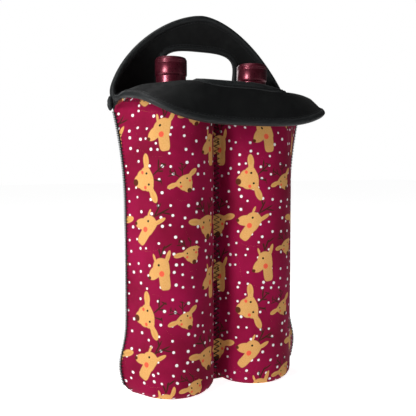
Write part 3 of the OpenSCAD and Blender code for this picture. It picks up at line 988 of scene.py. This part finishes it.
# Frames along an edge: places in the flat panel, and a place inside it for each
def edgeFrames(part, places, inner, closed):
    points = [part["surface"](p.x, p.y) for p in places]
    last = len(points) - 1
    frames = []
    for i, (place, point) in enumerate(zip(places, points)):
        ahead = points[(i + 1) % len(points)] if closed else points[min(i + 1, last)]
        behind = points[i - 1] if closed else points[max(i - 1, 0)]
        run = (ahead - behind).normalized()
        aim = place.lerp(inner[i], 0.08)  # close enough to follow the cloth's own slope
        into = part["surface"](aim.x, aim.y) - point
        into = (into - run * into.dot(run)).normalized()
        away = run.cross(into).normalized()
        if away.dot(handleNormal(part, aim)) < 0:
            away = -away
        frames.append((point - away * bag["neoprene"] / 2, into, away))
    return frames


# A rolled tape: round outside the edge, with a stitched groove along its inner side
def tapeSection(angle):
    a = mix(-tapeRadius, handle["tapeWidth"] - tapeRadius, (1 - math.cos(angle)) / 2)
    b = math.copysign(abs(math.sin(angle)) ** handle["tapeRound"], math.sin(angle))
    groove = handle["grooveDepth"] * math.exp(-((a - grooveAt) / handle["grooveWidth"]) ** 2)
    return a, b * (tapeRadius + 0.2 - groove - 0.35 * clamp((a - 1) / 5))


# A zigzag in the groove, at a height over the middle of the cloth
def grooveStitches(frames, height):
    points, sides, run, turn = [], [], 0.0, 1
    for (centre, into, away), (ahead, _, _) in zip(frames, frames[1:]):
        step = (ahead - centre).length
        while run < step:
            turn = -turn
            middle = centre.lerp(ahead, run / step)
            points.append(middle + into * (grooveAt + turn * handle["stitchHalf"])
                          + away * height)
            sides.append(away)
            run += handle["stitchPitch"] / 2
        run -= step
    return thread(points, sides, handle["stitchThread"], 4)


def addTape(name, part, frames, closed, nodes):
    tape = newPiece(name, sweptTube(frames, tapeSection, 22, closed), [bindingTape],
                    None)
    bendWith(tape, part)
    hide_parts(*nodes)
    half = bag["neoprene"] / 2
    stitches = newPiece(name + "Stitches",
                        joined([grooveStitches(frames, height) for height in (half, -half)]),
                        [seamThread], None)
    bendWith(stitches, part)


def addHandle(side, nodes, edgeNodes, holeNodes):
    part = handles[side]
    addHandleSheet(side, nodes)
    rims = [holeRim(p, part["centre"], part["half"], handle["holeBend"])
            for p in part["outer"]]
    addTape(side + "HoleBinding", part, edgeFrames(part, rims, part["outer"], True), True,
            holeNodes)
    if side == "Rear":
        low, arch = rearOuter()
        places = arch + [low[0]]
        inner = [p.lerp(part["centre"], 0.5) for p in places]
    else:
        _, _, top, left = frontOuter()
        places = top + [left[0]]
        inner = [Vector((p.x, 0)) for p in places]
    addTape(side + "EdgeBinding", part, edgeFrames(part, places, inner, False), False,
            edgeNodes)


addHandle("Rear", ["rear_collar", "rear_grip"], ["rear_grip_binding"],
          ["rear_hole_binding", "rear_hole_hem"])
addHandle("Front", ["front_collar", "front_grip"], ["front_grip_binding"],
          ["front_hole_binding", "front_hole_hem"])
print("handle panels and bindings made")


# Bound corners

corner = {
    "inward": 2.6,            # how far towards the middle it sits from its solid's place
    "wrap": 0.06,             # how deep the turns of its tape are, as a share of its radius
}


def addCorner(name, side, node):
    low, high = (point * 1000 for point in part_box(node))
    radius = (high.x - low.x) / 2
    middle = Vector(((low.x + high.x) / 2 - side * corner["inward"], 0, 0))
    mesh = bmesh.new()
    bmesh.ops.create_uvsphere(mesh, u_segments=20, v_segments=14, radius=1)
    for v in mesh.verts:
        wrap = 1 + corner["wrap"] * math.sin(9 * v.co.z + 2 * v.co.x)
        v.co = middle + Vector((v.co.x * radius * wrap, v.co.y * radius * wrap,
                                mix(low.z, high.z, (v.co.z + 1) / 2)))
    piece = newPiece(name, outward(mesh), [bindingTape], "bag")
    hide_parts(node)


addCorner("LeftCorner", -1, "left_corner_tab")
addCorner("RightCorner", 1, "right_corner_tab")
print("corners made")


# Seams

seams = {
    "centreHalf": 2.9,        # half width of the zigzag down the middle
    "centrePitch": 4.8,
    "centreThread": 0.75,
    "centreProud": 0.7,       # how far its thread stands off the cloth
    "edgeThread": 0.5,
    "edgePitch": 3.2,
    "edgeReach": 2.5,         # how far an edge's loops reach in from it
    "edgeProud": (0.3, 1.5),  # how far they stand off the cloth, and off the edge
    "edgeTape": (1.1, 0.95),  # half width and half thickness of the tape under the loops
    "edgeTapeIn": 0.7,
    "collarPitch": 3.6,
    "collarIn": 2.0,          # from the print's edge to the middle of its stitches
    "collarHalf": 0.9,
    "collarThread": 0.4,
    "baseHalf": 27.0,         # half length of a pocket's seam under the base
    "basePitch": 4.2,
    "baseWidth": 1.6,
    "baseThread": 0.45,
}


def addSeam(name, meshes, node):
    seam = newPiece(name, joined(meshes), [seamThread], "bag")
    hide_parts(node)


def centreZigzag(side):
    points, x, z = [], 1, 11.0
    while z < bag["collarLevel"] - 6:
        points.append(Vector((x * seams["centreHalf"],
                              side * (webDepth(z) + seams["centreProud"]), z)))
        x, z = -x, z + seams["centrePitch"] / 2
    return thread(points, Vector((0, 1, 0)), seams["centreThread"])


# Loops over a side's edge: out round the edge, then in on the front and on the back
def edgeLoops(side):
    points, z, turn = [], 8.0, 0
    reach = seams["edgeReach"]
    offCloth, offEdge = seams["edgeProud"]
    while z < bag["collarLevel"] - 3:
        tip = seamTip(z)
        cosEnd = bag["pocketRadius"] / (tip - bag["pocketAxis"])
        slope = cosEnd / math.sqrt(1 - cosEnd ** 2)
        run = 1 / math.sqrt(1 + slope ** 2)
        face = (0, 1, 0, -1)[turn % 4]
        if face:
            depth = bag["seamGap"] + reach * run * slope + offCloth / run
            points.append(Vector((side * (tip - reach * run), face * depth, z)))
        else:
            points.append(Vector((side * (tip + offEdge), 0, z)))
        z, turn = z + seams["edgePitch"] / 4, turn + 1
    return thread(points, Vector((0.3, 0, 1)), seams["edgeThread"])


def edgeTape(side):
    half, thick = seams["edgeTape"]
    frames = []
    for i in range(90):
        z = mix(4.0, bag["collarLevel"] + 2, i / 89)
        run = Vector((side * (seamTip(z + 1) - seamTip(z - 1)), 0, 2)).normalized()
        into = Vector((-side, 0, 0))
        into = (into - run * into.dot(run)).normalized()
        frames.append((Vector((side * seamTip(z), 0, z)), into, run.cross(into)))
    return sweptTube(frames, lambda angle: (seams["edgeTapeIn"] - half * math.cos(angle),
                                            thick * math.sin(angle)), 12)


def baseZigzag(side):
    points, y, x = [], 1, -seams["baseHalf"]
    while x < seams["baseHalf"]:
        points.append(Vector((side * bag["pocketAxis"] + x, y * seams["baseWidth"], 0.55)))
        x, y = x + seams["basePitch"] / 2, -y
    return thread(points, Vector((0, 0, 1)), seams["baseThread"])


def collarStitches(side):
    points, s, turn = [], 0.02, 1
    while s < 0.98:
        top = panelRun + printRise(2 * s - 1, side)
        down = seams["collarIn"] - turn * seams["collarHalf"]
        points.append(panelPoint(s, 1 - down / top, side)
                      + Vector((0, side * seams["collarThread"], 0)))
        s, turn = s + seams["collarPitch"] / 520, -turn
    return thread(points, Vector((0, 1, 0.2)), seams["collarThread"], 4)


addSeam("CentreSeam", [centreZigzag(-1), centreZigzag(1)], "centre_seam")
addSeam("LeftSideSeam", [edgeLoops(-1), edgeTape(-1)], "left_side_seam")
addSeam("RightSideSeam", [edgeLoops(1), edgeTape(1)], "right_side_seam")
addSeam("BaseSeam", [baseZigzag(-1), baseZigzag(1)], "base_seam")
addSeam("FrontCollarSeam", [collarStitches(-1)], "front_collar_seam")
addSeam("RearCollarSeam", [collarStitches(1)], "rear_collar_seam")
print("seams made")


# The bottles: foil capsules are new, and the rest keeps its own shape

capsule = {
    "radius": 14.6,           # of the skirt under the lip
    "lip": 16.5,              # height of the lip
    "thick": 0.45,
    "bead": 0.35,
}


def addCapsule(name, node, body):
    low, high = (corner * 1000 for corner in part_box(node))
    middle = (low + high) / 2
    top, r = high.z, capsule["radius"]
    lip = top - capsule["lip"]
    outside = [(r + 0.2, low.z), (r + 0.2, low.z + 0.5)]
    outside += [(r + 0.2 - 0.45 * i / 8, mix(low.z + 0.5, lip - 2.2, i / 8)) for i in range(1, 9)]
    outside += [(r - 0.35, lip - 1.7), (r - 0.2, lip - 1.1), (r + 0.35, lip - 0.4),
                (r + 0.6, lip + 0.4), (r + 0.62, lip + 1.5)]
    for level in (5.0, 3.4):  # rolled beads below the top
        z = top - level
        outside += [(r + 0.6, z - 0.9), (r + 0.6 - capsule["bead"], z - 0.45), (r + 0.6, z)]
    outside += [(r + 0.5, top - 2.3), (r - 0.1, top - 1.9), (r - 0.2, top - 1.2),
                (r - 0.5, top - 0.5), (r - 1.3, top - 0.1), (r - 3.2, top),
                (r - 6.5, top - 0.25), (r - 10.5, top - 0.3), (0, top - 0.3)]
    mesh = bmesh.new()
    points = [mesh.verts.new((x, 0, z)) for x, z in outside]
    edges = [mesh.edges.new(pair) for pair in zip(points, points[1:])]
    bmesh.ops.spin(mesh, geom=points + edges, cent=(0, 0, 0), axis=(0, 0, 1),
                   angle=2 * math.pi, steps=72, use_merge=True)
    bmesh.ops.remove_doubles(mesh, verts=mesh.verts, dist=0.01)
    bmesh.ops.translate(mesh, vec=(middle.x, middle.y, 0), verts=mesh.verts)
    outward(mesh, (Vector((middle.x, middle.y, top)), Vector((0, 0, 1))))
    piece = newPiece(name, mesh, [foil], body, capsule["thick"])
    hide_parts(node)


glass = bottleGlass()
redWine = speckled("RedWine", linear(40, 6, 16), linear(56, 10, 22), 30, 0.12,
                   {"Specular IOR Level": 0.5})
corkBark = speckled("CorkBark", linear(150, 108, 66), linear(206, 168, 118), 260, 0.8,
                    {"Specular IOR Level": 0.2})
paper = paperLabel()
for side in ("left", "right"):
    addCapsule(side.capitalize() + "Capsule", side + "_capsule", side + "_bottle")
    for part, material in (("bottle", glass), ("wine", redWine), ("cork", corkBark),
                           ("label", paper)):
        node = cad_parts[side + "_" + part]
        for place in node.material_slots:
            place.material = material
print("bottles finished")
